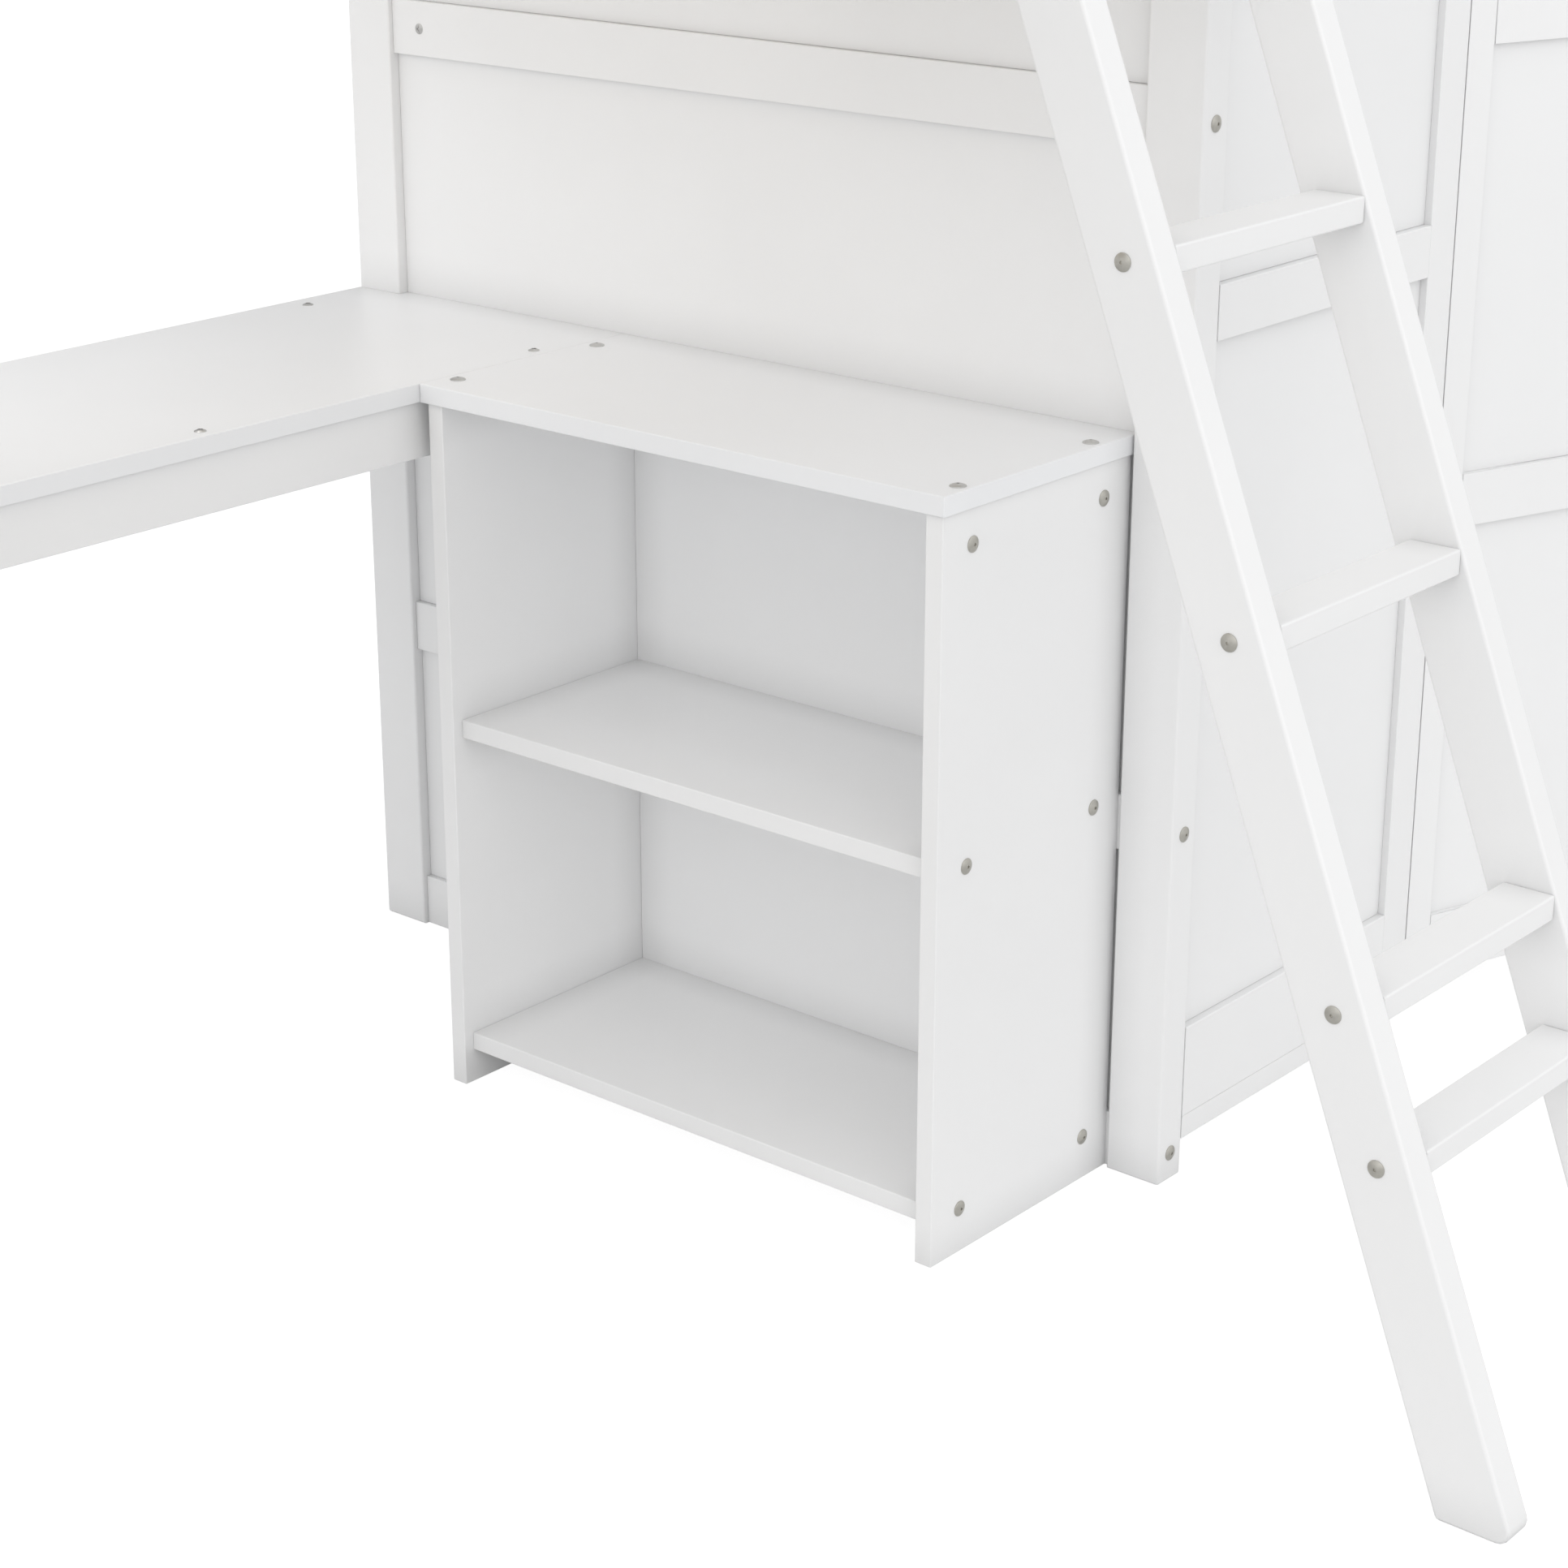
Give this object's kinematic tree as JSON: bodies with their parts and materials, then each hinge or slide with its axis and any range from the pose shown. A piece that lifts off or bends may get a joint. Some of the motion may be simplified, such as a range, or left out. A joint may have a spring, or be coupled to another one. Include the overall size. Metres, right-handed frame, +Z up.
{
  "type": "loft bed with desk",
  "caption": "Painted wooden loft bed over a desk, an open bookcase and a wardrobe with a hinged door, with a leaning ladder and guard rails.",
  "frame": {"origin": "on the floor, at the middle of the footprint, ladder included", "axes": "+X along the bed towards the wardrobe, -Y to the front where the ladder leans, +Z up"},
  "size_m": [2.13, 1.5944, 1.7],
  "materials": {
    "white_paint": "white satin paint on solid wood",
    "white_panel": "white satin paint on flat panels",
    "white_top": "white satin lacquer on the worktops",
    "bare_pine": "planed pine, unfinished",
    "plated_steel": "plated steel fittings"
  },
  "bodies": {
    "bed": {"bookcase_back": "white_panel", "bookcase_bottom": "white_paint", "bookcase_shelf": "white_paint", "bookcase_side_left": "white_paint", "bookcase_side_right": "white_paint", "bookcase_top": "white_top", "desk_apron_back": "white_paint", "desk_apron_front": "white_paint", "desk_support_rail": "white_paint", "desk_top": "white_top", "end_left_rail_bottom": "white_paint", "end_rail_left": "white_paint", "end_rail_right": "white_paint", "end_right_panel": "white_panel", "end_right_rail_bottom": "white_paint", "guard_back": "white_paint", "guard_front_left": "white_paint", "guard_front_right": "white_paint", "guard_left": "white_paint", "guard_right": "white_paint", "hinge_plate_lower": "plated_steel", "hinge_plate_upper": "plated_steel", "ladder_rail_left": "white_paint", "ladder_rail_right": "white_paint", "ladder_rung_1": "white_paint", "ladder_rung_2": "white_paint", "ladder_rung_3": "white_paint", "ladder_rung_4": "white_paint", "ladder_rung_5": "white_paint", "partition_panel_lower": "white_panel", "partition_panel_middle": "white_panel", "partition_panel_upper": "white_panel", "partition_post_back": "white_paint", "partition_post_front": "white_paint", "partition_rail_bottom": "white_paint", "partition_rail_middle": "white_paint", "partition_rail_upper": "white_paint", "post_left_back": "white_paint", "post_left_front": "white_paint", "post_right_back": "white_paint", "post_right_front": "white_paint", "side_rail_back": "white_paint", "side_rail_front": "white_paint", "slat_roll": "bare_pine", "wardrobe_back": "white_panel", "wardrobe_floor": "white_paint", "wardrobe_header": "white_paint", "wardrobe_lid": "white_paint", "wardrobe_panel_lower": "white_panel", "wardrobe_panel_upper": "white_panel", "wardrobe_rail_bottom": "white_paint", "wardrobe_rail_middle": "white_paint", "wardrobe_rod": "plated_steel", "wardrobe_stile": "white_paint"},
    "door": {"door_frame": "white_paint", "door_panel_lower": "white_panel", "door_panel_upper": "white_panel", "door_knob": "plated_steel", "hinge_cup_lower": "plated_steel", "hinge_cup_upper": "plated_steel"}
  },
  "joints": [
    {"name": "door_hinge", "type": "hinge", "parent": "bed", "child": "door", "pos_m": [0.7258, -0.24935, 0.575], "axis": [0, 0, -1], "range_deg": [-19.8, 75.2]}
  ]
}
